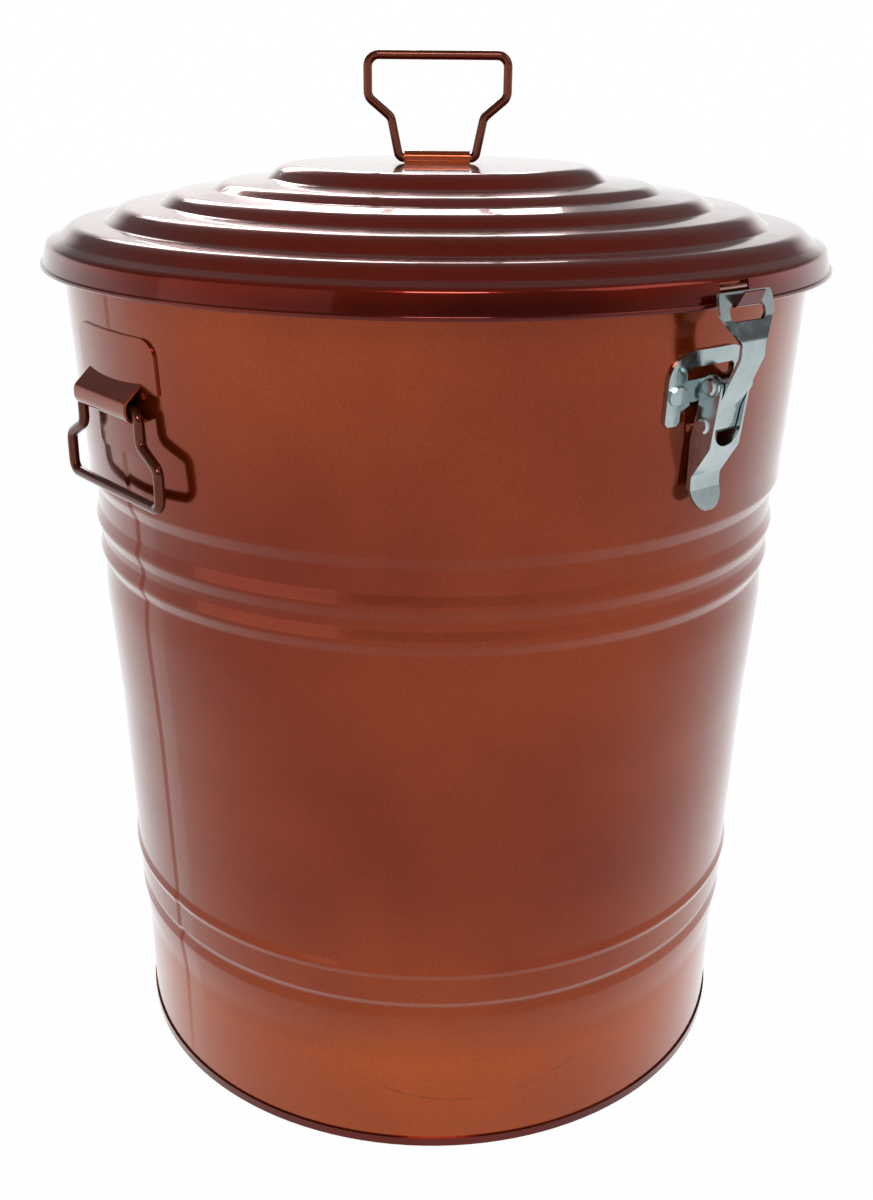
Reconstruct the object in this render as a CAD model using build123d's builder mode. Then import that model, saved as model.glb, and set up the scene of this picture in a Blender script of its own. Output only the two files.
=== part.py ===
from build123d import *
import os

# Metal storage can with a stepped lift-off lid, two draw latches and three wire bails.
# Origin at the centre of the base, +Z up. Latches on -Y and +Y, side handles on -X and +X.

# Sheet gauges
wall_sheet = 0.8
base_sheet = 0.8
lid_sheet = 0.8
plate_sheet = 1.2
latch_sheet = 1.5
lever_sheet = 1.4
clip_sheet = 1.0

# Can wall, outer radii and heights from the foot up
foot_radius = 170.6
lower_wall_top = 62.0
lower_wall_flare = 0.6
shelf_rise = 2.4
shelf_height = 20.0
groove_height = 88.0
groove_depth = 1.0
groove_half_width = 5.0
ridge_height = 110.0
ridge_rise = 1.0
ridge_half_width = 4.0
lower_slope = 0.026
kink_height = 206.0
middle_slope = 0.063
neck_height = 266.0
wall_slope = 0.0475
wall_top_radius = 189.5
rim_top_height = 442.6
rim_wire_radius = 3.0
rim_sides = 6

# Three rolled swages above the neck, each a lip over a crease, from the lowest up
swage_rises = (13.5, 30.5, 55.0)
swage_roll_height = 8.0
swage_depth = 2.3
swage_lip_proud = 0.4
swage_lip_land = 7.0

# Base pan and its seam around the foot of the wall
seam_height = 4.6
seam_sheet = 0.9
pan_recess = 8.0

# Lid, shoulders of the steps from the plateau out to the brim
plateau_radius = 78.4
step_radii = (107.8, 133.5, 159.9, 184.1, 196.2)
step_drops = (8.2, 5.0, 5.9, 7.5, 8.0)
riser_runs = (8.1, 6.2, 6.5, 7.1, 5.9)
riser_shares = (0.83, 0.68, 0.86, 0.93, 0.72)
skirt_height = 9.8
skirt_flare = 2.4
lid_bead_radius = 1.3
lid_seat_gap = 0.3

# Hook lanced from the lid skirt for each latch
hook_root_half_width = 9.3
hook_tip_half_width = 6.6
hook_root_rise = 0.55
hook_valley_reach = 5.7
hook_valley_drop = 2.0
hook_tip_reach = 9.2
hook_tip_rise = 4.9
hook_window_gap = 0.8
hook_window_top = 1.65

# Lever pivot, off the wall's outer face and below the rim; the latch is placed from it
pivot_off_wall = 10.22
pivot_below_rim = 44.6

# Latch base, an arch of sheet riveted to the wall with two lugs folded out of it
arch_half_width = 25.0
arch_rise = 14.0
arch_drop = 18.0
arch_corner_radius = 13.0
arch_bar_height = 7.0
arch_slot_drop = -1.4
arch_slot_half_width = 15.0
tail_inner = 17.0
tail_drop = 12.0
lug_drop = 8.5
lug_end_radius = 4.6
latch_corner_cut = 1.6
rivet_spread = 19.6
rivet_drop = 4.4
rivet_radius = 2.5
rivet_head_radius = 4.8
rivet_head_height = 1.8
rivet_inner_head = (4.0, 1.0)
rivet_inner_gap = 0.06

# Lever, seen from the side as steps out and down from its pivot, and the pins
pin_inset = 3.6
pin_drop = 17.6
pin_radius = 2.5
pin_clearance = 0.08
pin_sides = 12
pin_head_radius = 3.8
pin_head_height = 1.3
head_cut = 0.8
lever_half_width = 9.6
lever_lug_gap = 0.3
lever_eye_radius = 5.0
lever_web_step = (1.6, -27.0)
lever_dip_step = (-7.6, -41.5)
lever_dip_end_step = (-7.4, -47.5)
lever_tip_step = (-3.7, -57.4)
lever_back_step = -9.8
lever_back_bend_drop = 25.0
lever_flange_drop = 47.0
lever_bend_radius = 5.0

# Tongue, its waist placed from its pin and the rest from the inner face of the hook
tongue_half_width = 7.6
tongue_waist_step = (4.6, 7.6)
tongue_elbow_step = (5.0, -20.4)
tongue_elbow_end_step = (5.0, -13.9)
tongue_brow_step = (1.0, -4.9)
tongue_top_step = (-2.3, 6.2)
tongue_bend_radius = 6.0
ring_half_width = 17.2
ring_neck_drop = 14.4
ring_shoulder_drop = 2.4
ring_corner_radius = 5.0
eye_half_width = 11.3
eye_drop = 5.6
eye_height = 7.1
eye_corner_cut = 2.0

# Wire bails, an eight-sided section swept round tangent bends
side_wire_radius = 2.5
lid_wire_radius = 2.25
wire_sides = 8
bend_radius = 5.5
bend_steps = 3
side_pivot_off_wall = 3.7735
side_pivot_below_rim = 62.6
side_pintle_end = 9.0
side_neck_half_width = 28.0
side_half_width = 43.3
side_neck_drop = 15.0
side_shoulder_drop = 23.0
side_drop = 41.5
lid_bail_turn = -39.0
lid_pintle_end = 4.0
lid_pintle_bend = 3.0
lid_foot_half_width = 19.3
lid_neck_half_width = 23.4
lid_half_width = 35.0
lid_neck_rise = 19.5
lid_shoulder_rise = 29.0
lid_rise = 49.0

# Handle plates, each with a rolled channel that holds the pintles
plate_half_width = 36.0
plate_rise = 32.0
plate_side_rise = 8.0
plate_corner_radius = 8.0
channel_radius = 4.8
channel_half_length = 25.0
channel_ramp_step = (-6.5, 13.6)
flap_half_width = 21.0
flap_drop = 23.5
flap_corner_cut = 2.0

# Clip on the lid plateau
clip_half_length = 16.6
clip_foot = 6.0
clip_clearance = 0.35

# Cuts and intersecting blocks reach this far past what they trim
reach = 250.0

os.makedirs("parts", exist_ok=True)


def wall_radius(height):
    """Outer radius of the straight upper wall at a height."""
    return wall_top_radius - wall_slope * (rim_top_height - height)


def step_from(point, step):
    """The point that lies a step out and up from another."""
    return (point[0] + step[0], point[1] + step[1])


pivot_height = rim_top_height - pivot_below_rim
pivot_out = wall_radius(pivot_height) + pivot_off_wall
pivot = (pivot_out, pivot_height)
pin_out, pin_height = step_from(pivot, (-pin_inset, -pin_drop))
arch_top = pivot_height + arch_rise
arch_bottom = pivot_height - arch_drop
rivet_height = pivot_height - rivet_drop
side_pivot_height = rim_top_height - side_pivot_below_rim
side_pivot_out = wall_radius(side_pivot_height) + side_pivot_off_wall
plate_top = side_pivot_height + plate_rise
plate_bottom = side_pivot_height + plate_side_rise
flap_bottom = side_pivot_height - flap_drop


def flat_plane(turn):
    """Plane through the axis that faces outward: x runs along the wall, y is up."""
    return Plane(origin=(0, 0, 0), x_dir=(1, 0, 0), z_dir=(0, -1, 0)).rotated((0, 0, turn))


def side_plane(turn):
    """Plane through the axis seen from the side: x is distance from the axis, y is up."""
    return Plane(origin=(0, 0, 0), x_dir=(0, -1, 0), z_dir=(-1, 0, 0)).rotated((0, 0, turn))


def rivet_planes(turn):
    """The two planes on the wall's outer face, one for each rivet, square to the sheet."""
    radius = wall_radius(rivet_height)
    swing = Vector(radius, rivet_spread).get_angle(Vector(radius, 0))
    planes = []
    for angle in (turn - swing, turn + swing):
        origin = Vector(0, -radius, rivet_height).rotate(Axis.Z, angle)
        across = Vector(1, 0, 0).rotate(Axis.Z, angle)
        outward = Vector(0, -1, -wall_slope).rotate(Axis.Z, angle)
        planes.append(Plane(origin=origin, x_dir=across, z_dir=outward))
    return planes


def finish(part, name):
    """Label a finished sub-part and write it."""
    part.label = name
    export_step(part, f"parts/{name}.step")


# Profile of the can wall
shelf_top = lower_wall_top + shelf_height
shelf_radius = foot_radius + lower_wall_flare + shelf_rise


def lower_radius(height):
    """Outer radius of the plain wall above the foot beads."""
    return shelf_radius + lower_slope * (height - shelf_top)


kink_radius = lower_radius(kink_height)
neck_radius = kink_radius + middle_slope * (neck_height - kink_height)
swage_creases = [neck_height + rise for rise in swage_rises]
swage_top = swage_creases[-1] + swage_roll_height + swage_lip_land


def swage_radius(height):
    """Outer radius that the swage lips follow, from the neck to the straight wall."""
    share = (height - neck_height) / (swage_top - neck_height)
    return neck_radius + share * (wall_radius(swage_top) - neck_radius)


rim_centre_height = rim_top_height - rim_wire_radius
rim_centre_radius = wall_radius(rim_centre_height) - wall_sheet + rim_wire_radius

wall_outline = [
    (foot_radius, seam_sheet),
    (foot_radius, seam_height),
    (foot_radius + lower_wall_flare, lower_wall_top),
    (shelf_radius, shelf_top),
    (lower_radius(groove_height) - groove_depth, groove_height),
    (lower_radius(groove_height), groove_height + groove_half_width),
    (lower_radius(ridge_height), ridge_height - ridge_half_width),
    (lower_radius(ridge_height) + ridge_rise, ridge_height),
    (lower_radius(ridge_height), ridge_height + ridge_half_width),
    (kink_radius, kink_height),
    (neck_radius, neck_height),
]
for crease in swage_creases:
    lip_height = crease + swage_roll_height
    lip_radius = swage_radius(lip_height) + swage_lip_proud
    wall_outline += [(lip_radius - swage_depth, crease), (lip_radius, lip_height)]
wall_outline += [
    (wall_radius(swage_top), swage_top),
    (wall_radius(rim_centre_height), rim_centre_height),
]
inside_follows = wall_outline[:1] + wall_outline[2:5] + wall_outline[8:]
wall_inside = [(radius - wall_sheet, height) for radius, height in inside_follows]

with BuildPart() as body_shell:
    with BuildSketch(Plane.XZ):
        with BuildLine():
            Polyline(*wall_outline, *reversed(wall_inside), close=True)
        make_face()
        with Locations((rim_centre_radius, rim_centre_height)):
            RegularPolygon(rim_wire_radius, rim_sides, major_radius=False)
    revolve(axis=Axis.Z)
    with BuildSketch(*rivet_planes(0), *rivet_planes(180)):
        RegularPolygon(rivet_radius, pin_sides)
    extrude(amount=2 * wall_sheet, both=True, mode=Mode.SUBTRACT)
finish(body_shell.part, "body_shell")

# Base pan, hooked over the foot of the wall and set up inside it
seam_outside = foot_radius + seam_sheet
wall_foot_inside = foot_radius - wall_sheet
pan_inside = wall_foot_inside - base_sheet

with BuildPart() as base_pan:
    with BuildSketch(Plane.XZ):
        with BuildLine():
            Polyline(
                (0, pan_recess - base_sheet),
                (pan_inside, pan_recess - base_sheet),
                (pan_inside, 0),
                (seam_outside, 0),
                (seam_outside, seam_height),
                (foot_radius, seam_height),
                (foot_radius, seam_sheet),
                (wall_foot_inside, seam_sheet),
                (wall_foot_inside, pan_recess),
                (0, pan_recess),
                close=True,
            )
        make_face()
    revolve(axis=Axis.Z)
finish(base_pan.part, "base_pan")

# Lid, seated on the outer edge of the rim's flat top
rim_shoulder = rim_centre_radius + rim_wire_radius * 0.577
brim_radius = step_radii[-1]
tread_drop = step_drops[-1] * (1 - riser_shares[-1])
tread_run = brim_radius - step_radii[-2] - riser_runs[-1]
brim_over_seat = lid_sheet - tread_drop / tread_run * (brim_radius - rim_shoulder)
brim_height = rim_top_height + lid_seat_gap + brim_over_seat
plateau_height = brim_height + sum(step_drops)

lid_outline = [(0, plateau_height), (plateau_radius, plateau_height)]
for radius, drop, run, share in zip(step_radii, step_drops, riser_runs, riser_shares):
    last_radius, last_height = lid_outline[-1]
    lid_outline += [
        (last_radius + run, last_height - drop * share),
        (radius, last_height - drop),
    ]
skirt_foot_radius = brim_radius + skirt_flare
skirt_foot_height = brim_height - skirt_height
hook_root_height = skirt_foot_height + hook_root_rise
hook_valley = (skirt_foot_radius + hook_valley_reach, hook_root_height - hook_valley_drop)
hook_tip = (skirt_foot_radius + hook_tip_reach, hook_root_height + hook_tip_rise)
window_bottom = hook_root_height + hook_window_gap
window_top = brim_height - hook_window_top
lid_inside = [(radius, height - lid_sheet) for radius, height in lid_outline[:-1]]
lid_inside += [(brim_radius - lid_sheet, brim_height - lid_sheet)]
lid_inside += [(skirt_foot_radius - lid_sheet, skirt_foot_height)]


def build_hook(turn):
    """A tongue of the skirt bent out over the bead and up, open towards the top."""
    with BuildPart() as hook:
        with BuildSketch(side_plane(turn)) as strip:
            with BuildLine() as bend:
                FilletPolyline(
                    (skirt_foot_radius - lid_sheet / 2, hook_root_height),
                    hook_valley,
                    hook_tip,
                    radius=lid_sheet,
                )
            trace(line_width=lid_sheet)
        extrude(amount=hook_root_half_width, both=True)
        with BuildSketch(flat_plane(turn)):
            with BuildLine():
                Polyline(
                    (-hook_root_half_width, skirt_foot_height - lid_bead_radius),
                    (hook_root_half_width, skirt_foot_height - lid_bead_radius),
                    (hook_root_half_width, hook_root_height),
                    (hook_tip_half_width, hook_tip[1] + lid_sheet),
                    (-hook_tip_half_width, hook_tip[1] + lid_sheet),
                    (-hook_root_half_width, hook_root_height),
                    close=True,
                )
            make_face()
        extrude(amount=reach, mode=Mode.INTERSECT)
    return hook.part


hooks = [build_hook(turn) for turn in (0, 180)]

with BuildPart() as lid_shell:
    with BuildSketch(Plane.XZ):
        with BuildLine():
            Polyline(
                *lid_outline,
                (skirt_foot_radius, skirt_foot_height),
                *reversed(lid_inside),
                close=True,
            )
        make_face()
        with Locations((skirt_foot_radius, skirt_foot_height - lid_bead_radius * 0.7)):
            RegularPolygon(lid_bead_radius, rim_sides, major_radius=False)
    revolve(axis=Axis.Z)
    for turn in (0, 180):
        with BuildSketch(flat_plane(turn)):
            with Locations((0, (window_bottom + window_top) / 2)):
                Rectangle(2 * hook_root_half_width, window_top - window_bottom)
        extrude(amount=reach, mode=Mode.SUBTRACT)
    add(hooks)
finish(lid_shell.part, "lid_shell")

# Clip and wire bail on the lid
clip_axis_height = plateau_height + lid_wire_radius + clip_clearance
clip_bend = lid_wire_radius + clip_clearance + clip_sheet / 2
clip_plane = side_plane(lid_bail_turn)

with BuildPart() as lid_handle_clip:
    with BuildSketch(clip_plane):
        with BuildLine():
            FilletPolyline(
                (-clip_bend - clip_foot, plateau_height + clip_sheet / 2),
                (-clip_bend, plateau_height + clip_sheet / 2),
                (-clip_bend, clip_axis_height + clip_bend),
                (clip_bend, clip_axis_height + clip_bend),
                (clip_bend, plateau_height + clip_sheet / 2),
                (clip_bend + clip_foot, plateau_height + clip_sheet / 2),
                radius=[clip_sheet, clip_bend * 0.95, clip_bend * 0.95, clip_sheet],
            )
        trace(line_width=clip_sheet)
    extrude(amount=clip_half_length, both=True)
finish(lid_handle_clip.part, "lid_handle_clip")


def build_bail(plane, half_route, radii, wire_radius, name):
    """Sweep a bail's wire round a route given for one half and mirrored."""
    mirrored = [(-across, height) for across, height in reversed(half_route)]
    with BuildPart() as bail:
        with BuildLine(plane) as route:
            FilletPolyline(*half_route, *mirrored, radius=radii + radii[::-1])
        stations = [route.line @ 0]
        for edge in route.line.edges():
            steps = 1 if edge.geom_type == GeomType.LINE else bend_steps
            stations += [edge @ ((step + 1) / steps) for step in range(steps)]
        with BuildLine() as wire:
            Polyline(*stations)
        with BuildSketch(Plane(origin=wire.line @ 0, z_dir=wire.line % 0)):
            RegularPolygon(wire_radius, wire_sides, rotation=180 / wire_sides)
        sweep(path=wire.line, transition=Transition.RIGHT)
    finish(bail.part, name)


lid_route = [
    (lid_pintle_end, clip_axis_height),
    (lid_foot_half_width, clip_axis_height),
    (lid_neck_half_width, clip_axis_height + lid_neck_rise),
    (lid_half_width, clip_axis_height + lid_shoulder_rise),
    (lid_half_width, clip_axis_height + lid_rise),
]
lid_radii = [lid_pintle_bend, bend_radius, bend_radius, bend_radius]
build_bail(flat_plane(lid_bail_turn), lid_route, lid_radii, lid_wire_radius, "lid_handle_bail")

side_route = [
    (side_pintle_end, side_pivot_height),
    (side_neck_half_width, side_pivot_height),
    (side_neck_half_width, side_pivot_height - side_neck_drop),
    (side_half_width, side_pivot_height - side_shoulder_drop),
    (side_half_width, side_pivot_height - side_drop),
]


def wall_band(bottom, top, thickness):
    """Corners of the section of a sheet that lies on the straight wall between two heights."""
    return [
        (wall_radius(bottom), bottom),
        (wall_radius(bottom) + thickness, bottom),
        (wall_radius(top) + thickness, top),
        (wall_radius(top), top),
    ]


def build_handle_plate(turn, name):
    """Sheet that hugs the wall, with a straight channel rolled out of it for the pintles."""
    channel_front = side_pivot_out + channel_radius
    channel_bottom = side_pivot_height - channel_radius
    channel_top = side_pivot_height + channel_radius
    channel_ramp = step_from((side_pivot_out, side_pivot_height), channel_ramp_step)
    with BuildPart() as plate:
        with BuildSketch(Plane.XZ):
            with BuildLine():
                Polyline(*wall_band(flap_bottom, plate_top, plate_sheet), close=True)
            make_face()
        revolve(axis=Axis.Z)
        with BuildSketch(flat_plane(turn)):
            with BuildLine():
                Polyline(
                    (-plate_half_width, plate_top),
                    (plate_half_width, plate_top),
                    (plate_half_width, plate_bottom),
                    (channel_half_length, plate_bottom),
                    (channel_half_length, channel_top),
                    (-channel_half_length, channel_top),
                    (-channel_half_length, plate_bottom),
                    (-plate_half_width, plate_bottom),
                    close=True,
                )
            make_face()
            fillet(vertices().group_by(Axis.Y)[-1], plate_corner_radius)
            with BuildLine():
                Polyline(
                    (-flap_half_width, channel_bottom),
                    (flap_half_width, channel_bottom),
                    (flap_half_width, flap_bottom),
                    (-flap_half_width, flap_bottom),
                    close=True,
                )
            make_face()
            chamfer(vertices().group_by(Axis.Y)[0], flap_corner_cut)
        extrude(amount=reach, mode=Mode.INTERSECT)
        with BuildSketch(side_plane(turn)):
            with BuildLine():
                FilletPolyline(
                    channel_ramp,
                    (channel_front, side_pivot_height + channel_radius * 0.73),
                    (channel_front, channel_bottom),
                    (channel_ramp[0], channel_bottom),
                    radius=channel_radius * 0.98,
                )
            trace(line_width=plate_sheet)
        extrude(amount=channel_half_length, both=True)
        with BuildSketch(Plane.XZ):
            with BuildLine():
                Polyline(
                    (0, flap_bottom),
                    (wall_radius(flap_bottom), flap_bottom),
                    (wall_radius(plate_top), plate_top),
                    (0, plate_top),
                    close=True,
                )
            make_face()
        revolve(axis=Axis.Z, mode=Mode.SUBTRACT)
    finish(plate.part, name)


for turn, side in ((-90, "left"), (90, "right")):
    build_handle_plate(turn, f"handle_plate_{side}")
    hanging_plane = flat_plane(turn).offset(side_pivot_out)
    side_radii = [bend_radius] * (len(side_route) - 1)
    build_bail(hanging_plane, side_route, side_radii, side_wire_radius, f"handle_bail_{side}")


def both_sides(plane, inner, outer):
    """The same sketch plane moved to each side, to extrude from the inner to the outer face."""
    return [(plane.offset(-outer), outer - inner), (plane.offset(inner), outer - inner)]


lug_inner = lever_half_width + lever_lug_gap
lug_outer = lug_inner + latch_sheet


def build_latch_base(turn, name):
    """Arch on the wall with a slot under its bar and a lug folded out of each leg."""
    arch_slot_top = arch_top - arch_bar_height
    arch_slot_bottom = pivot_height - arch_slot_drop
    tail_top = pivot_height - tail_drop
    lug_bottom = pivot_height - lug_drop
    with BuildPart() as base:
        with BuildSketch(Plane.XZ):
            with BuildLine():
                Polyline(*wall_band(arch_bottom, arch_top, latch_sheet), close=True)
            make_face()
        revolve(axis=Axis.Z)
        with BuildSketch(flat_plane(turn)):
            with BuildLine():
                Polyline(
                    (arch_half_width, arch_bottom),
                    (arch_half_width, arch_top),
                    (-arch_half_width, arch_top),
                    (-arch_half_width, arch_bottom),
                    (-tail_inner, arch_bottom),
                    (-tail_inner, tail_top),
                    (-lug_inner, lug_bottom),
                    (-lug_inner, arch_slot_bottom),
                    (-arch_slot_half_width, arch_slot_bottom),
                    (-arch_slot_half_width, arch_slot_top),
                    (arch_slot_half_width, arch_slot_top),
                    (arch_slot_half_width, arch_slot_bottom),
                    (lug_inner, arch_slot_bottom),
                    (lug_inner, lug_bottom),
                    (tail_inner, tail_top),
                    (tail_inner, arch_bottom),
                    close=True,
                )
            make_face()
            fillet(vertices().group_by(Axis.Y)[-1], arch_corner_radius)
            chamfer(vertices().group_by(Axis.Y)[0], latch_corner_cut)
            slot_corners = vertices().filter_by(lambda v: abs(v.Y - arch_slot_top) < 0.01)
            chamfer(slot_corners.filter_by(lambda v: abs(v.X) < arch_half_width), latch_corner_cut)
        extrude(amount=reach, mode=Mode.INTERSECT)
        for plane, thickness in both_sides(side_plane(turn), lug_inner, lug_outer):
            with BuildSketch(plane):
                with BuildLine():
                    Polyline(
                        (wall_radius(lug_bottom) + latch_sheet / 2, lug_bottom),
                        (pivot_out, pivot_height - lug_end_radius),
                        (pivot_out, pivot_height + lug_end_radius),
                        (wall_radius(arch_slot_bottom) + latch_sheet / 2, arch_slot_bottom),
                        close=True,
                    )
                make_face()
                with Locations((pivot_out, pivot_height)):
                    RegularPolygon(lug_end_radius, pin_sides, major_radius=False, rotation=15)
                    RegularPolygon(pin_radius, pin_sides, mode=Mode.SUBTRACT)
            extrude(amount=thickness)
        with BuildSketch(*rivet_planes(turn)):
            RegularPolygon(rivet_radius, pin_sides)
        extrude(amount=2 * latch_sheet, both=True, mode=Mode.SUBTRACT)
    finish(base.part, name)


def build_latch_rivets(turn, name):
    """Two rivets through the latch base and the wall, headed on both sides."""
    inner_radius, inner_height = rivet_inner_head
    with BuildPart() as rivets:
        for plane in rivet_planes(turn):
            with BuildSketch(plane.offset(-wall_sheet - rivet_inner_gap)):
                RegularPolygon(rivet_radius, pin_sides)
            extrude(amount=wall_sheet + rivet_inner_gap + latch_sheet)
            with BuildSketch(plane.offset(-wall_sheet - rivet_inner_gap)):
                RegularPolygon(inner_radius, pin_sides)
            extrude(amount=-inner_height)
            with BuildSketch(plane.offset(latch_sheet)):
                RegularPolygon(rivet_head_radius, pin_sides)
            extrude(amount=rivet_head_height)
            outermost = faces().sort_by(Axis((0, 0, 0), plane.z_dir))[-1]
            chamfer(outermost.edges(), head_cut)
    finish(rivets.part, name)


def build_cross_pin(turn, out, height, shoulder, name):
    """Pin across the latch with a shallow head outside each shoulder."""
    centre = side_plane(turn)
    with BuildPart() as pin:
        with BuildSketch(centre):
            with Locations((out, height)):
                RegularPolygon(pin_radius, pin_sides)
        extrude(amount=shoulder, both=True)
        for side in (-1, 1):
            with BuildSketch(centre.offset(side * shoulder)):
                with Locations((out, height)):
                    RegularPolygon(pin_head_radius, pin_sides)
            extrude(amount=side * pin_head_height)
        ends = faces().sort_by(Axis((0, 0, 0), centre.z_dir))
        chamfer(ends[0].edges() + ends[-1].edges(), head_cut)
    finish(pin.part, name)


def build_lever(turn, name):
    """Channel-shaped lever: two cheeks, and a front web that runs out into a curved thumb tab."""
    centre = side_plane(turn)
    cheek_inner = lever_half_width - lever_sheet
    web_out, web_bottom = step_from(pivot, lever_web_step)
    dip_out, dip_height = step_from(pivot, lever_dip_step)
    dip_end_out, dip_end_height = step_from(pivot, lever_dip_end_step)
    tip_out, tip_height = step_from(pivot, lever_tip_step)
    lever_back = pivot_out + lever_back_step
    front_slope = (pivot_out + lever_eye_radius - web_out) / (pivot_height - web_bottom)
    web_top = web_bottom + cheek_inner
    with BuildPart() as lever:
        for plane, thickness in both_sides(centre, cheek_inner, lever_half_width):
            with BuildSketch(plane):
                with BuildLine():
                    Polyline(
                        (pivot_out - lever_eye_radius, pivot_height),
                        (lever_back, pivot_height - lever_back_bend_drop),
                        (lever_back, pivot_height - lever_flange_drop),
                        (dip_end_out, dip_end_height),
                        (dip_out, dip_height),
                        (web_out, web_bottom),
                        (pivot_out + lever_eye_radius, pivot_height),
                        close=True,
                    )
                make_face()
                with Locations((pivot_out, pivot_height)):
                    RegularPolygon(lever_eye_radius, pin_sides)
                    RegularPolygon(
                        pin_radius + pin_clearance,
                        pin_sides,
                        major_radius=False,
                        mode=Mode.SUBTRACT,
                    )
                with Locations((pin_out, pin_height)):
                    RegularPolygon(pin_radius, pin_sides, mode=Mode.SUBTRACT)
            extrude(amount=thickness)
        with BuildSketch(centre):
            with BuildLine():
                FilletPolyline(
                    (web_out + front_slope * cheek_inner - lever_sheet / 2, web_top),
                    (web_out - lever_sheet / 2, web_bottom),
                    (dip_out - lever_sheet / 2, dip_height),
                    (dip_end_out - lever_sheet / 2, dip_end_height),
                    (tip_out - lever_sheet / 2, tip_height),
                    radius=[lever_bend_radius, lever_bend_radius, lever_bend_radius],
                )
            trace(line_width=lever_sheet)
        extrude(amount=lever_half_width, both=True)
        with BuildSketch(flat_plane(turn)):
            with Locations((0, (tip_height + pivot_height) / 2 + lever_eye_radius)):
                Rectangle(2 * lever_half_width, pivot_height - tip_height + 2 * lever_eye_radius)
            fillet(vertices().group_by(Axis.Y)[0], lever_half_width * 0.98)
            with Locations((0, web_top)):
                Circle(cheek_inner, mode=Mode.SUBTRACT)
        extrude(amount=reach, mode=Mode.INTERSECT)
    finish(lever.part, name)


def build_tongue(turn, name):
    """Draw tongue: curled round its pin below, waved outwards, with an eye for the lid's hook."""
    curl_inner = pin_radius + pin_clearance
    curl_outer = curl_inner + latch_sheet
    curl_middle = (curl_inner + curl_outer) / 2
    hook_inside = hook_valley
    tongue_waist = step_from((pin_out, pin_height), tongue_waist_step)
    tongue_top = step_from(hook_inside, tongue_top_step)
    ring_neck_height = hook_inside[1] - ring_neck_drop
    ring_shoulder_height = hook_inside[1] - ring_shoulder_drop
    eye_middle = hook_inside[1] - eye_drop + eye_height / 2
    with BuildPart() as tongue:
        with BuildSketch(side_plane(turn)):
            with BuildLine():
                FilletPolyline(
                    (pin_out + curl_middle, pin_height),
                    tongue_waist,
                    step_from(hook_inside, tongue_elbow_step),
                    step_from(hook_inside, tongue_elbow_end_step),
                    step_from(hook_inside, tongue_brow_step),
                    tongue_top,
                    radius=tongue_bend_radius,
                )
            trace(line_width=latch_sheet)
            with Locations((pin_out, pin_height)):
                RegularPolygon(curl_outer, pin_sides)
                RegularPolygon(
                    curl_inner,
                    pin_sides,
                    major_radius=False,
                    mode=Mode.SUBTRACT,
                )
        extrude(amount=ring_half_width, both=True)
        with BuildSketch(flat_plane(turn)):
            with BuildLine():
                Polyline(
                    (tongue_half_width, pin_height - 2 * curl_outer),
                    (tongue_half_width, ring_neck_height),
                    (ring_half_width, ring_shoulder_height),
                    (ring_half_width, tongue_top[1] + latch_sheet),
                    (-ring_half_width, tongue_top[1] + latch_sheet),
                    (-ring_half_width, ring_shoulder_height),
                    (-tongue_half_width, ring_neck_height),
                    (-tongue_half_width, pin_height - 2 * curl_outer),
                    close=True,
                )
            make_face()
            fillet(vertices().group_by(Axis.Y)[-1], ring_corner_radius)
            with BuildSketch(mode=Mode.PRIVATE) as eye:
                with Locations((0, eye_middle)):
                    Rectangle(2 * eye_half_width, eye_height)
                chamfer(vertices(), eye_corner_cut)
            add(eye.sketch, mode=Mode.SUBTRACT)
        extrude(amount=reach, mode=Mode.INTERSECT)
    finish(tongue.part, name)


for turn, side in ((0, "front"), (180, "back")):
    build_latch_base(turn, f"latch_base_{side}")
    build_latch_rivets(turn, f"latch_rivets_{side}")
    build_cross_pin(turn, pivot_out, pivot_height, lug_outer, f"lever_pivot_{side}")
    build_cross_pin(turn, pin_out, pin_height, lever_half_width, f"tongue_pin_{side}")
    build_lever(turn, f"latch_lever_{side}")
    build_tongue(turn, f"draw_tongue_{side}")
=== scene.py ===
import math

import bmesh
import bpy
from mathutils import Matrix, Vector


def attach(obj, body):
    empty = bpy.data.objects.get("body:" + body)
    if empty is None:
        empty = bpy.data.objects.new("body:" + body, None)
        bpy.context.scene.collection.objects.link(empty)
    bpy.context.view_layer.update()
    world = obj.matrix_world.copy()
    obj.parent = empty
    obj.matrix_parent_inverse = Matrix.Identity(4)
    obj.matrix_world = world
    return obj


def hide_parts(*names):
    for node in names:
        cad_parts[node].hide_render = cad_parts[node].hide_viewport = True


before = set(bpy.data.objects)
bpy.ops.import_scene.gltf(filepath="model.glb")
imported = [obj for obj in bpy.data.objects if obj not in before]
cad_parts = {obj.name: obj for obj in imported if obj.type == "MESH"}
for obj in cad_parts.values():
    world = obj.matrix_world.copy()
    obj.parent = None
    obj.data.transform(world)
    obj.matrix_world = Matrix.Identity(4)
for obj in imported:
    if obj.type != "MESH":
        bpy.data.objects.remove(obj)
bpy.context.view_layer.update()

MM = 0.001
scene = bpy.context.scene

# Sizes in millimetres, angles in degrees
SHEET = 0.8
RIM_TOP = 442.6
RIM_WALL_RADIUS = 189.5
WALL_TAPER = 0.0475
RIM_CENTRE = (191.56, 439.6)
RIM_ROLL = 3.0
RIM_FOOT = 436.4
WALL_SEGMENTS = 720
SEAM_ANGLE = 270.2
SEAM_FADE = 5.0
SEAM_DEPTH = 0.55
BRIM = 442.65
LID_SEGMENTS = 1080
SKIRT_RADIUS = 198.6
BEAD_RADIUS = 1.3
HOOK_HALF = 9.3
HOOK_TAPER = 2.7
WINDOW_LOW, WINDOW_HIGH = 434.2, 441.0
LID_WIRE_RADIUS = 2.25
SIDE_WIRE_RADIUS = 2.5
SIDE_PIVOT_OUT = 190.3
SIDE_PIVOT_HEIGHT = 380.0

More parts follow.
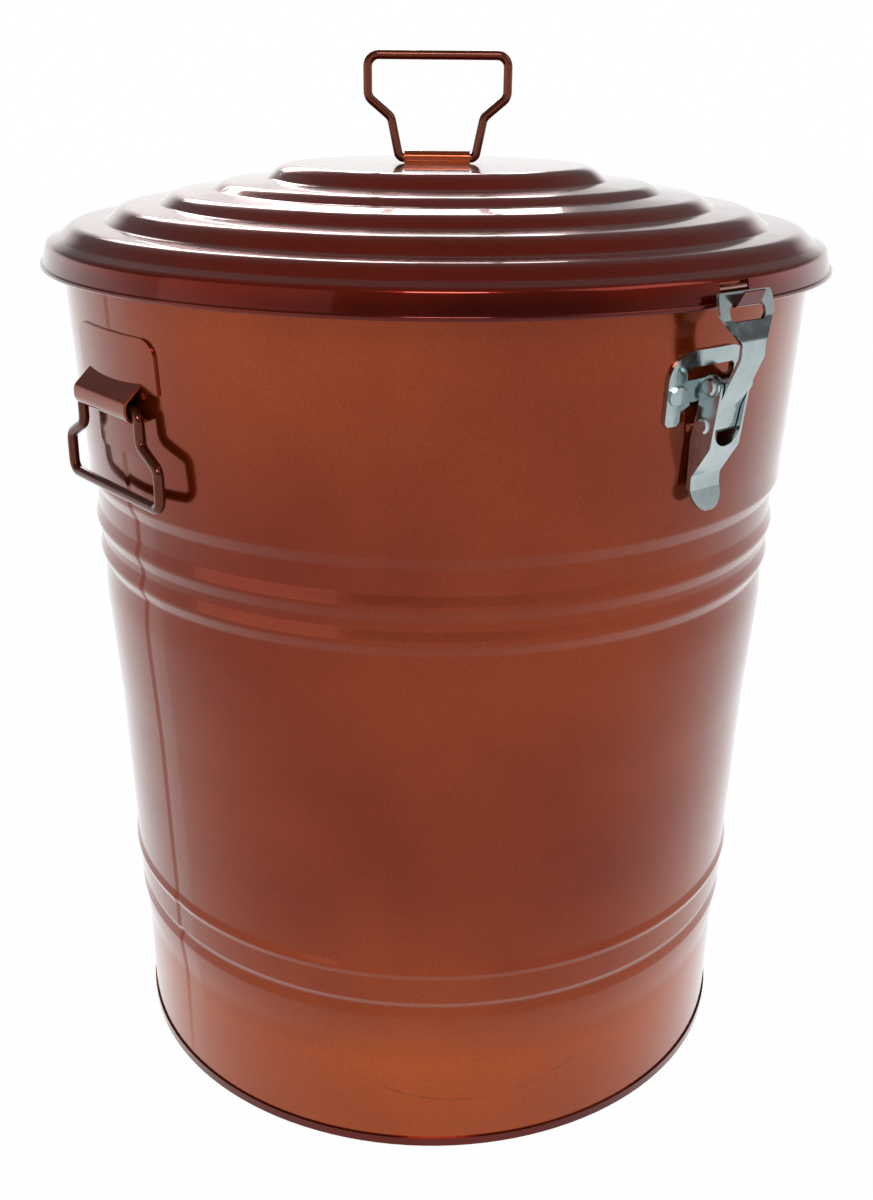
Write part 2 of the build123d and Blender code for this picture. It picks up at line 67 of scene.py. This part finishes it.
# Level directions fixed to the can: across its left front, and out from it
ACROSS_FRONT = (0.777, -0.629, 0)
OUT_OF_FRONT = (-0.629, -0.777, 0)


# Geometry helpers, all in millimetres until the mesh is made

def rounded(points, radii, step=7.0):
    """A 2-D polyline with its corners turned into arcs."""
    out = [Vector(points[0])]
    for before, corner, after, radius in zip(points, points[1:], points[2:], radii):
        before, corner, after = Vector(before), Vector(corner), Vector(after)
        a = (before - corner).normalized()
        b = (after - corner).normalized()
        turn = math.pi - a.angle(b)
        if radius <= 0 or turn < 0.01:
            out.append(corner)
            continue
        # A corner takes less than half of each side, so that neighbours don't meet
        back = radius * math.tan(turn / 2)
        limit = 0.48 * min((before - corner).length, (after - corner).length)
        if back > limit:
            radius *= limit / back
            back = limit
        centre = corner + (a + b).normalized() * radius / math.cos(turn / 2)
        start = corner + a * back - centre
        count = max(2, int(math.degrees(turn) / step) + 1)
        side = 1 if start.cross(corner + b * back - centre) > 0 else -1
        for i in range(count + 1):
            angle = side * turn * i / count
            c, s = math.cos(angle), math.sin(angle)
            out.append(centre + Vector((start.x * c - start.y * s, start.x * s + start.y * c)))
    out.append(Vector(points[-1]))
    return out


def arc(centre, radius, first, last, count):
    """Points on a circle between two angles in degrees."""
    points = []
    for i in range(count + 1):
        angle = math.radians(first + (last - first) * i / count)
        points.append(Vector((centre[0] + radius * math.cos(angle), centre[1] + radius * math.sin(angle))))
    return points


def make_object(name, bm, body, smooth):
    """Turns a bmesh in millimetres into a piece that rides on a body."""
    bmesh.ops.recalc_face_normals(bm, faces=bm.faces)
    bmesh.ops.scale(bm, vec=(MM, MM, MM), verts=bm.verts)
    mesh = bpy.data.meshes.new(name)
    bm.to_mesh(mesh)
    bm.free()
    mesh.shade_smooth()
    mesh.set_sharp_from_angle(angle=math.radians(smooth))
    obj = bpy.data.objects.new(name, mesh)
    scene.collection.objects.link(obj)
    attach(obj, body)
    return obj


def revolve(profile, segments, shift=None, skip=None):
    """Closed profile of (radius, height) points spun about the axis."""
    bm = bmesh.new()
    rings = []
    for i in range(segments):
        angle = 2 * math.pi * i / segments
        ring = []
        for radius, height in profile:
            r = radius + (shift(angle, height) if shift else 0.0)
            ring.append(bm.verts.new((r * math.sin(angle), -r * math.cos(angle), height)))
        rings.append(ring)
    for i in range(segments):
        a, b = rings[i], rings[(i + 1) % segments]
        for j in range(len(profile)):
            k = (j + 1) % len(profile)
            if skip and skip(i, j, k):
                continue
            bm.faces.new((a[j], b[j], b[k], a[k]))
    return bm


def frame_at(turn):
    """Along, outward and up directions of a side of the can; 0 is the front latch."""
    t = math.radians(turn)
    along = Vector((math.cos(t), math.sin(t), 0))
    outward = Vector((math.sin(t), -math.cos(t), 0))
    return along, outward, Vector((0, 0, 1))


def join_rings(bm, rings):
    """A closed tube through rings of vertices."""
    sides = len(rings[0])
    for a, b in zip(rings, rings[1:]):
        for k in range(sides):
            bm.faces.new((a[k], a[(k + 1) % sides], b[(k + 1) % sides], b[k]))
    bm.faces.new(rings[0][::-1])
    bm.faces.new(rings[-1])


def sweep_wire(bm, path, radius, sides=20):
    """Round wire along 3-D points."""
    rings = []
    normal = None
    for i, p in enumerate(path):
        ahead = path[min(i + 1, len(path) - 1)]
        behind = path[max(i - 1, 0)]
        tangent = (ahead - behind).normalized()
        if normal is None:
            normal = tangent.orthogonal().normalized()
        normal = (normal - tangent * normal.dot(tangent)).normalized()
        other = tangent.cross(normal)
        ring = []
        for k in range(sides):
            angle = 2 * math.pi * k / sides
            ring.append(bm.verts.new(p + (normal * math.cos(angle) + other * math.sin(angle)) * radius))
        rings.append(ring)
    join_rings(bm, rings)


def add_strip(bm, centre_line, half_widths, thickness, turn):
    """Sheet strip along (outward, height) points with a half width at each."""
    along, out, up = frame_at(turn)
    rings = []
    for i, (r, z) in enumerate(centre_line):
        ahead = Vector(centre_line[min(i + 1, len(centre_line) - 1)])
        behind = Vector(centre_line[max(i - 1, 0)])
        t = (ahead - behind).normalized()
        n = Vector((t.y, -t.x))
        ring = []
        for s, w in ((1, -1), (1, 1), (-1, 1), (-1, -1)):
            q = Vector((r, z)) + n * (s * thickness / 2)
            ring.append(bm.verts.new(along * (w * half_widths[i]) + out * q.x + up * q.y))
        rings.append(ring)
    join_rings(bm, rings)


def bail(name, node_name, body, half, radii, radius, turn, out_distance, base):
    """A handle of round wire from one half of its centre line, mirrored."""
    along, out, up = frame_at(turn)
    mirrored = [(-x, z) for x, z in reversed(half)]
    path = rounded(half + mirrored, radii + radii[::-1], 8.0)
    bm = bmesh.new()
    sweep_wire(bm, [along * p.x + out * out_distance + up * (base + p.y) for p in path], radius)
    obj = make_object(name, bm, body, 40)
    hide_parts(node_name)
    return obj


# Can wall: foot, two beads, flare, three swages, cone and rolled edge

def wall_radius(z):
    return RIM_WALL_RADIUS - WALL_TAPER * (RIM_TOP - z)


wall_line = [
    (170.6, 0.95), (170.6, 4.6), (171.2, 62.0), (173.6, 82.0), (172.3, 88.0), (173.89, 91.6),
    (174.22, 105.6), (175.33, 109.0), (173.9, 113.0), (176.82, 206.0), (180.6, 266.0), (179.2, 280.5),
    (182.18, 287.0), (180.1, 293.6), (180.4, 297.6), (183.11, 304.0), (181.1, 310.6), (181.4, 322.0),
    (184.46, 328.6), (184.44, 336.0), (wall_radius(439.6), 439.6),
]
wall_corners = [0, 60, 5, 3, 3, 2.5, 2.2, 2.5, 200, 160, 4, 5, 4, 4, 5, 4, 4, 5, 3]
outside = rounded(wall_line, wall_corners)
inside = rounded([(r - SHEET, z) for r, z in wall_line], wall_corners)
rolled_edge = [Vector((wall_radius(RIM_FOOT), RIM_FOOT))] + arc(RIM_CENTRE, RIM_ROLL, 255, 540, 26)
wall_profile = outside[:-1] + rolled_edge + inside[::-1]


def seam_step(angle, height):
    """The overlap of the side seam, a step on one side that fades out on the other."""
    gap = math.degrees(angle) - SEAM_ANGLE
    if height > 436 or height < 5:
        return 0.0
    if 0.0 <= gap < SEAM_FADE:
        return -SEAM_DEPTH * (1 - gap / SEAM_FADE)
    return 0.0


bm = revolve([tuple(p) for p in wall_profile], WALL_SEGMENTS, seam_step)
can = make_object("can_wall", bm, "can", 24)
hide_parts("body_shell")

# Lid: flat middle, five steps, skirt and bead
step_radii = (107.8, 133.5, 159.9, 184.1, 196.2)
step_drops = (8.2, 5.0, 5.9, 7.5, 8.0)
riser_runs = (8.1, 6.2, 6.5, 7.1, 5.9)
riser_shares = (0.83, 0.68, 0.86, 0.93, 0.72)
lid_top = BRIM + sum(step_drops)
lid_line = [(0.01, lid_top), (78.4, lid_top)]
for radius, drop, run, share in zip(step_radii, step_drops, riser_runs, riser_shares):
    r0, z0 = lid_line[-1]
    lid_line += [(r0 + run, z0 - drop * share), (radius, z0 - drop)]
lid_line += [(SKIRT_RADIUS, BRIM - 9.8)]
lid_corners = [13.0, 4.0] * 5 + [3.2]
top = rounded(lid_line, lid_corners, 5.0)
under_line = [(r, z - SHEET) for r, z in lid_line[:-2]] + [(195.5, BRIM - SHEET), (197.8, BRIM - 9.8)]
under = rounded(under_line, lid_corners, 5.0)
bead = arc((SKIRT_RADIUS, BRIM - 10.7), BEAD_RADIUS, 60, -200, 14)
plain_profile = [tuple(p) for p in top + bead + under[::-1]]

# The skirt gets extra points at the heights of the windows behind the hooks
lid_profile = []
for a, b in zip(plain_profile, plain_profile[1:] + plain_profile[:1]):
    lid_profile.append(a)
    if a[0] > 190 and b[0] > 190 and abs(a[1] - b[1]) > 4:
        for z in sorted((WINDOW_LOW, WINDOW_HIGH), reverse=a[1] > b[1]):
            t = (z - a[1]) / (b[1] - a[1])
            if 0.01 < t < 0.99:
                lid_profile.append((a[0] + (b[0] - a[0]) * t, z))


def window(i, j, k):
    """True for the faces of the skirt that the two windows leave out."""
    middle = math.sin(2 * math.pi * (i + 0.5) / LID_SEGMENTS) * 197.5
    low, high = sorted((lid_profile[j][1], lid_profile[k][1]))
    on_skirt = lid_profile[j][0] > 190 and high < WINDOW_HIGH + 0.2 and low > WINDOW_LOW - 0.2
    return abs(middle) < HOOK_HALF and on_skirt


bm = revolve(lid_profile, LID_SEGMENTS, None, window)
for turn in (0, 180):
    line = rounded([(197.9, 433.9), (204.3, 431.4), (207.8, 438.3)], [1.6], 12)
    widths = [HOOK_HALF - HOOK_TAPER * min(1, max(0, (p.x - 199.0) / 8.6)) for p in line]
    add_strip(bm, [tuple(p) for p in line], widths, SHEET, turn)
lid = make_object("lid_pressing", bm, "lid", 26)
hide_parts("lid_shell")

# Wire handles
lid_half = [(4.0, 0), (19.3, 0), (23.4, 19.5), (35.0, 29.0), (35.0, 48.7)]
side_half = [(9.0, 0), (28.0, 0), (28.0, -15.0), (43.3, -23.0), (43.3, -41.5)]
wires = [bail("lid_wire", "lid_handle_bail", "lid_handle", lid_half, [3.0, 5.5, 5.5, 5.5],
              LID_WIRE_RADIUS, -39, 0.0, lid_top + 2.6)]
for turn, side in ((-90, "left"), (90, "right")):
    wires.append(bail(f"{side}_wire", f"handle_bail_{side}", f"{side}_handle", side_half, [5.5] * 4,
                      SIDE_WIRE_RADIUS, turn, SIDE_PIVOT_OUT, SIDE_PIVOT_HEIGHT))


# Material helpers

def new_material(name):
    mat = bpy.data.materials.new(name)
    mat.use_nodes = True
    return mat, mat.node_tree.nodes, mat.node_tree.links, mat.node_tree.nodes["Principled BSDF"]


def node(nodes, kind, **values):
    """A node with inputs or properties set by name."""
    n = nodes.new(kind)
    for key, value in values.items():
        if key in n.inputs:
            n.inputs[key].default_value = value
        else:
            setattr(n, key, value)
    return n


def feed(links, socket, value):
    """Links an output to a socket, or sets the socket to a plain value."""
    if hasattr(value, "links"):
        links.new(value, socket)
    else:
        socket.default_value = value


def calculate(nodes, links, operation, *values):
    """A Math node, as its output."""
    n = node(nodes, "ShaderNodeMath", operation=operation)
    for socket, value in zip(n.inputs, values):
        feed(links, socket, value)
    return n.outputs[0]


def measure(nodes, links, operation, a, b):
    """A Vector Math node with a number as its result."""
    n = node(nodes, "ShaderNodeVectorMath", operation=operation)
    feed(links, n.inputs[0], a)
    feed(links, n.inputs[1], b)
    return n.outputs["Value"]


def grey(*stops):
    """Ramp stops from (position, level) pairs."""
    return [(position, (level,) * 3) for position, level in stops]


def ramp(nodes, links, source, stops):
    r = nodes.new("ShaderNodeValToRGB")
    while len(r.color_ramp.elements) < len(stops):
        r.color_ramp.elements.new(0.5)
    for element, (position, colour) in zip(r.color_ramp.elements, stops):
        element.position = position
        element.color = (*colour, 1)
    links.new(source, r.inputs["Fac"])
    return r.outputs["Color"]


def mix(nodes, links, factor, a, b, mode="MIX"):
    m = nodes.new("ShaderNodeMix")
    m.data_type = "RGBA"
    m.blend_type = mode
    for index, value in ((0, factor), (6, a), (7, b)):
        feed(links, m.inputs[index], value)
    return m.outputs[2]


def noise(nodes, links, coords, scale, detail=3.0, rough=0.5):
    n = node(nodes, "ShaderNodeTexNoise", Scale=scale, Detail=detail, Roughness=rough)
    links.new(coords, n.inputs["Vector"])
    return n.outputs["Fac"]


def object_coords(nodes):
    return nodes.new("ShaderNodeTexCoord").outputs["Object"]


def height_of(nodes, links, coords):
    split = nodes.new("ShaderNodeSeparateXYZ")
    links.new(coords, split.inputs[0])
    return split.outputs["Z"]


# Materials

def candy(name, deep, bright, stops, metal=0.72):
    """Translucent copper lacquer over bright sheet: the bright colour shows by height as painted light and
    shade, with cloudy depth at random, faint orange peel and a hard clear coat.
    """
    mat, nodes, links, bsdf = new_material(name)
    coords = object_coords(nodes)
    height = node(nodes, "ShaderNodeMapRange")
    height.inputs["From Max"].default_value = 0.5
    links.new(height_of(nodes, links, coords), height.inputs["Value"])
    # Painted light and shade: how much of the bright colour shows is set by height, from the stops
    painted_light_band = ramp(nodes, links, height.outputs[0], stops)
    cloud = ramp(nodes, links, noise(nodes, links, coords, 7.0, 4.0, 0.55), grey((0.35, 0.0), (0.68, 1.0)))
    amount = mix(nodes, links, 0.24, painted_light_band, cloud)
    colour = mix(nodes, links, amount, (*deep, 1), (*bright, 1))
    flake = ramp(nodes, links, noise(nodes, links, coords, 900.0, 2.0), grey((0.3, 0.88), (0.7, 1.1)))
    colour = mix(nodes, links, 1.0, colour, flake, "MULTIPLY")
    links.new(colour, bsdf.inputs["Base Color"])
    rough = ramp(nodes, links, noise(nodes, links, coords, 30.0, 3.0), grey((0.3, 0.15), (0.7, 0.23)))
    links.new(rough, bsdf.inputs["Roughness"])
    bsdf.inputs["Metallic"].default_value = metal
    bsdf.inputs["Specular IOR Level"].default_value = 0.15
    bsdf.inputs["Coat Weight"].default_value = 1.0
    bsdf.inputs["Coat Roughness"].default_value = 0.035
    bsdf.inputs["Coat IOR"].default_value = 1.26
    peel = node(nodes, "ShaderNodeBump", Strength=0.05, Distance=0.0004)
    links.new(noise(nodes, links, coords, 220.0, 2.0), peel.inputs["Height"])
    wave = node(nodes, "ShaderNodeBump", Strength=0.2, Distance=0.002)
    links.new(noise(nodes, links, coords, 9.0, 1.0), wave.inputs["Height"])
    links.new(wave.outputs[0], peel.inputs["Normal"])
    links.new(peel.outputs[0], bsdf.inputs["Coat Normal"])
    links.new(peel.outputs[0], bsdf.inputs["Normal"])
    return mat, colour


def scuff(mat, colour):
    """A faint curved scuff low on the left front of the wall, a thin arc of a circle."""
    nodes, links = mat.node_tree.nodes, mat.node_tree.links
    coords = object_coords(nodes)
    height = height_of(nodes, links, coords)
    point = nodes.new("ShaderNodeCombineXYZ")
    links.new(measure(nodes, links, "DOT_PRODUCT", coords, ACROSS_FRONT), point.inputs["X"])
    links.new(height, point.inputs["Y"])
    distance = measure(nodes, links, "DISTANCE", point.outputs[0], (0.018, 0.152, 0))
    on_arc = calculate(nodes, links, "COMPARE", distance, 0.1226, 0.0005)
    low_down = calculate(nodes, links, "LESS_THAN", height, 0.044)
    outward = measure(nodes, links, "DOT_PRODUCT", coords, OUT_OF_FRONT)
    in_front = calculate(nodes, links, "GREATER_THAN", outward, 0.1)
    mask = calculate(nodes, links, "MULTIPLY", on_arc, low_down)
    mask = calculate(nodes, links, "MULTIPLY", mask, in_front)
    worn = ramp(nodes, links, noise(nodes, links, coords, 60.0, 3.0), grey((0.35, 0.0), (0.7, 0.6)))
    amount = calculate(nodes, links, "MULTIPLY", mask, worn)
    scuffed = mix(nodes, links, amount, colour, (0.16, 0.03, 0.015, 1))
    links.new(scuffed, nodes["Principled BSDF"].inputs["Base Color"])


def zinc(name):
    """Bright zinc plate: bluish, with fine drawing lines and soft smears."""
    mat, nodes, links, bsdf = new_material(name)
    coords = object_coords(nodes)
    smear = [(0.3, (0.36, 0.43, 0.44)), (0.7, (0.5, 0.57, 0.58))]
    links.new(ramp(nodes, links, noise(nodes, links, coords, 60.0, 4.0), smear), bsdf.inputs["Base Color"])
    rough = ramp(nodes, links, noise(nodes, links, coords, 180.0, 3.0), grey((0.3, 0.1), (0.75, 0.24)))
    links.new(rough, bsdf.inputs["Roughness"])
    bsdf.inputs["Metallic"].default_value = 1.0
    bump = node(nodes, "ShaderNodeBump", Strength=0.12, Distance=0.0003)
    stretch = node(nodes, "ShaderNodeMapping", Scale=(1, 1, 0.12))
    links.new(coords, stretch.inputs["Vector"])
    links.new(noise(nodes, links, stretch.outputs[0], 900.0, 2.0), bump.inputs["Height"])
    links.new(bump.outputs[0], bsdf.inputs["Normal"])
    return mat


# How much of the bright colour shows at each share of the height from 0 to 0.5 m. These height bands are
# painted light and shade: on the can, painted reflections as lighter and darker bands up the wall; on the
# lid, painted shade that keeps the skirt deep below the brim; on the wires, painted light that makes them
# lighter higher up.
can_painted_light_stops = grey((0.0, 0.65), (0.1, 0.9), (0.17, 0.4), (0.3, 0.2), (0.5, 0.22), (0.62, 0.16),
                 (0.72, 0.25), (0.82, 0.4), (0.9, 0.35))
# Painted shade: the lid's skirt and hooks stay at the deep colour below the brim
lid_painted_shade_stops = grey((0.0, 0.0), (0.872, 0.0), (0.886, 0.5), (1.0, 0.6))
# Painted light: the wires run lighter higher up
wire_painted_light_stops = grey((0.0, 0.3), (1.0, 0.8))
can_paint, can_colour = candy("copper_lacquer", (0.14, 0.007, 0.001), (0.48, 0.085, 0.01), can_painted_light_stops)
scuff(can_paint, can_colour)
lid_paint, _ = candy("lid_lacquer", (0.09, 0.004, 0.001), (0.34, 0.024, 0.004), lid_painted_shade_stops, 0.75)
# The wires take a darker copy of the can's copper lacquer: painted shade
wire_shaded_paint, _ = candy("wire_lacquer_painted_shade", (0.05, 0.009, 0.004), (0.15, 0.03, 0.01), wire_painted_light_stops)
plated = zinc("zinc_plate")


def paint_object(obj, mat):
    obj.data.materials.clear()
    obj.data.materials.append(mat)


def soften_bends(obj, width):
    """Rounds the long bend lines of a pressed sheet part."""
    mesh = obj.data
    bm = bmesh.new()
    bm.from_mesh(mesh)
    bm.normal_update()
    bends = [0.0] * len(mesh.edges)
    for edge in bm.edges:
        if len(edge.link_faces) == 2 and edge.calc_length() > 4 * MM:
            angle = math.degrees(edge.calc_face_angle(0.0))
            if 12 < angle < 75:
                bends[edge.index] = 1.0
    bm.free()
    weights = mesh.attributes.get("bevel_weight_edge")
    if weights is None:
        weights = mesh.attributes.new("bevel_weight_edge", "FLOAT", "EDGE")
    weights.data.foreach_set("value", bends)
    flat = obj.modifiers.new("flat", "DECIMATE")
    flat.decimate_type = "DISSOLVE"
    flat.angle_limit = math.radians(0.5)
    bend = obj.modifiers.new("bend", "BEVEL")
    bend.limit_method = "WEIGHT"
    bend.width = width
    bend.segments = 4
    bend.use_clamp_overlap = False


def break_edges(obj):
    """Takes the sharpness off the cut edges."""
    edge = obj.modifiers.new("edge", "BEVEL")
    edge.width = 0.22 * MM
    edge.segments = 2
    edge.angle_limit = math.radians(40)


paint_object(can, can_paint)
paint_object(lid, lid_paint)
for wire in wires:
    paint_object(wire, wire_shaded_paint)
replaced_or_plain = ("body_shell", "lid_shell", "lid_handle_bail", "handle_bail", "base_pan")
for name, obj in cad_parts.items():
    # The base pan takes the lid lacquer, which is at its deep colour at floor height: painted shade at the
    # foot of the can
    if name == "base_pan":
        mat = lid_paint
    elif name.startswith(("handle_", "lid_handle")):
        mat = can_paint
    else:
        mat = plated
    for material_slot in obj.material_slots:
        material_slot.material = mat
    if name.startswith(("draw_tongue", "latch_lever", "latch_base", "handle_plate")):
        soften_bends(obj, 1.3 * MM)
    if not name.startswith(replaced_or_plain):
        break_edges(obj)
    obj.data.shade_smooth()
    obj.data.set_sharp_from_angle(angle=math.radians(35))

# Plain pale floor: camera, glossy and transmission rays all see it white, and it keeps a faint shadow
mesh = bpy.data.meshes.new("floor")
mesh.from_pydata([(-6, -6, 0), (6, -6, 0), (6, 6, 0), (-6, 6, 0)], [], [(0, 1, 2, 3)])
floor = bpy.data.objects.new("floor", mesh)
scene.collection.objects.link(floor)
mat, nodes, links, bsdf = new_material("pale_floor")
bsdf.inputs["Base Color"].default_value = (0.25, 0.25, 0.25, 1)
bsdf.inputs["Roughness"].default_value = 0.7
light_path = nodes.new("ShaderNodeLightPath")
glow = node(nodes, "ShaderNodeEmission", Color=(1, 1, 1, 1), Strength=1.02)
seen = light_path.outputs["Is Camera Ray"]
for ray in ("Is Glossy Ray", "Is Transmission Ray"):
    seen = calculate(nodes, links, "MAXIMUM", seen, light_path.outputs[ray])
blend = nodes.new("ShaderNodeMixShader")
links.new(calculate(nodes, links, "MULTIPLY", seen, 0.97), blend.inputs[0])
links.new(bsdf.outputs[0], blend.inputs[1])
links.new(glow.outputs[0], blend.inputs[2])
links.new(blend.outputs[0], nodes["Material Output"].inputs["Surface"])
floor.data.materials.append(mat)

# Studio world: one gradient for all rays, white near the horizon and darker overhead
world = bpy.data.worlds.new("studio")
scene.world = world
world.use_nodes = True
nodes, links = world.node_tree.nodes, world.node_tree.links
direction = nodes.new("ShaderNodeTexCoord").outputs["Generated"]
sky_stops = grey((0.0, 1.0), (0.13, 1.0), (0.28, 0.13), (1.0, 0.28))
sky = ramp(nodes, links, height_of(nodes, links, direction), sky_stops)
links.new(sky, nodes["Background"].inputs["Color"])
nodes["Background"].inputs["Strength"].default_value = 1.0


def lamp(name, place, size, power, target=(0, 0, 0.25)):
    """Soft rectangular lamp in metres and watts, aimed at a point."""
    data = bpy.data.lights.new(name, "AREA")
    data.shape = "RECTANGLE"
    data.size, data.size_y = size
    data.energy = power
    obj = bpy.data.objects.new(name, data)
    scene.collection.objects.link(obj)
    obj.location = place
    obj.rotation_euler = (Vector(target) - Vector(place)).to_track_quat("-Z", "Y").to_euler()


lamp("key", (-1.25, -1.75, 2.0), (0.9, 0.5), 20)
lamp("fill", (0.9, -1.9, 1.9), (1.6, 1.4), 11)
lamp("window", (1.66, 2.5, 1.95), (0.42, 0.3), 4.5, (0, 0, 0.45))
lamp("sheen", (1.12, 2.82, 1.6), (0.8, 0.4), 3.2, (0, 0, 0.45))
lamp("left", (-2.3, 0.1, 0.8), (2.2, 1.6), 5)
lamp("back", (1.2, 1.9, 1.3), (1.2, 0.5), 9)

# Camera at the photograph's view: place in metres, then turn, tilt and a small roll
camera_data = bpy.data.cameras.new("camera")
camera = bpy.data.objects.new("camera", camera_data)
scene.collection.objects.link(camera)
camera_data.lens = 40.551
camera_data.sensor_width = 36
camera_data.shift_x = 0.003
camera.matrix_world = (
    Matrix.Translation((-0.4555, -0.5624, 0.52))
    @ Matrix.Rotation(math.radians(-39), 4, "Z")
    @ Matrix.Rotation(math.pi / 2 - 0.3715, 4, "X")
    @ Matrix.Rotation(0.0092, 4, "Z")
)
scene.camera = camera
scene.view_settings.view_transform = "Standard"
